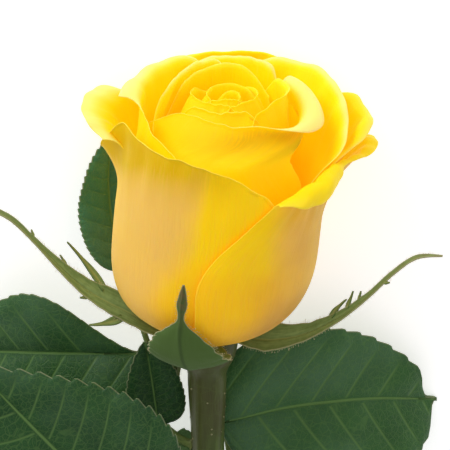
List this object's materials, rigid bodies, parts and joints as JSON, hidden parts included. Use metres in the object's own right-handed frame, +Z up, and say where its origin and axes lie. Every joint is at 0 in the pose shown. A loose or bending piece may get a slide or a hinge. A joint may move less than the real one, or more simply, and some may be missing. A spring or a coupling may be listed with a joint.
{
  "type": "cut rose flower",
  "caption": "A single cut rose lying down: a cupped bloom of nested petals over a hip with pointed sepals, and a straight prickly stem with compound serrated leaves, for a bouquet or a table.",
  "frame": {"origin": "the middle of the small flat spot where the bloom's rear petal rests on the surface, under the bloom, on the surface's plane", "axes": "+Y along the stem from its cut end towards the bloom, parallel to the surface, +Z up from the surface that the flower lies on, +X towards the flower's right as seen from above with the bloom at the top"},
  "size_m": [0.1139, 0.2798, 0.0443],
  "materials": {
    "petal_outer": "matte golden yellow, paler on the rolled rims",
    "petal_inner": "matte saturated yellow, deeper in the folds",
    "stem": "olive green bark with a reddish tint, slightly glossy",
    "sepal": "matte grey-green with a pale fringed edge",
    "leaf": "dark green with pale veins and a soft waxy sheen"
  },
  "bodies": {
    "root": {"petal_outer_right_front": "petal_outer", "petal_outer_back": "petal_outer", "petal_outer_left_front": "petal_outer", "petal_outer_right_back": "petal_outer", "petal_outer_left": "petal_outer", "petal_second_left": "petal_inner", "petal_second_right": "petal_inner", "petal_second_front": "petal_inner", "petal_inner_back": "petal_inner", "petal_inner_left": "petal_inner", "petal_inner_right": "petal_inner", "petal_inner_front": "petal_inner", "petal_inner_far": "petal_inner", "petal_heart_1": "petal_inner", "petal_heart_2": "petal_inner", "petal_heart_3": "petal_inner", "petal_heart_4": "petal_inner", "petal_heart_5": "petal_inner", "heart_bud": "petal_inner", "stem": "stem", "sepal_front": "sepal", "sepal_left": "sepal", "sepal_right": "sepal", "sepal_back_right": "sepal", "sepal_back_left": "sepal", "leaf_upper_left": "leaf", "leaf_upper_right": "leaf", "leaf_middle_left": "leaf", "leaf_lower_right": "leaf"}
  },
  "joints": []
}
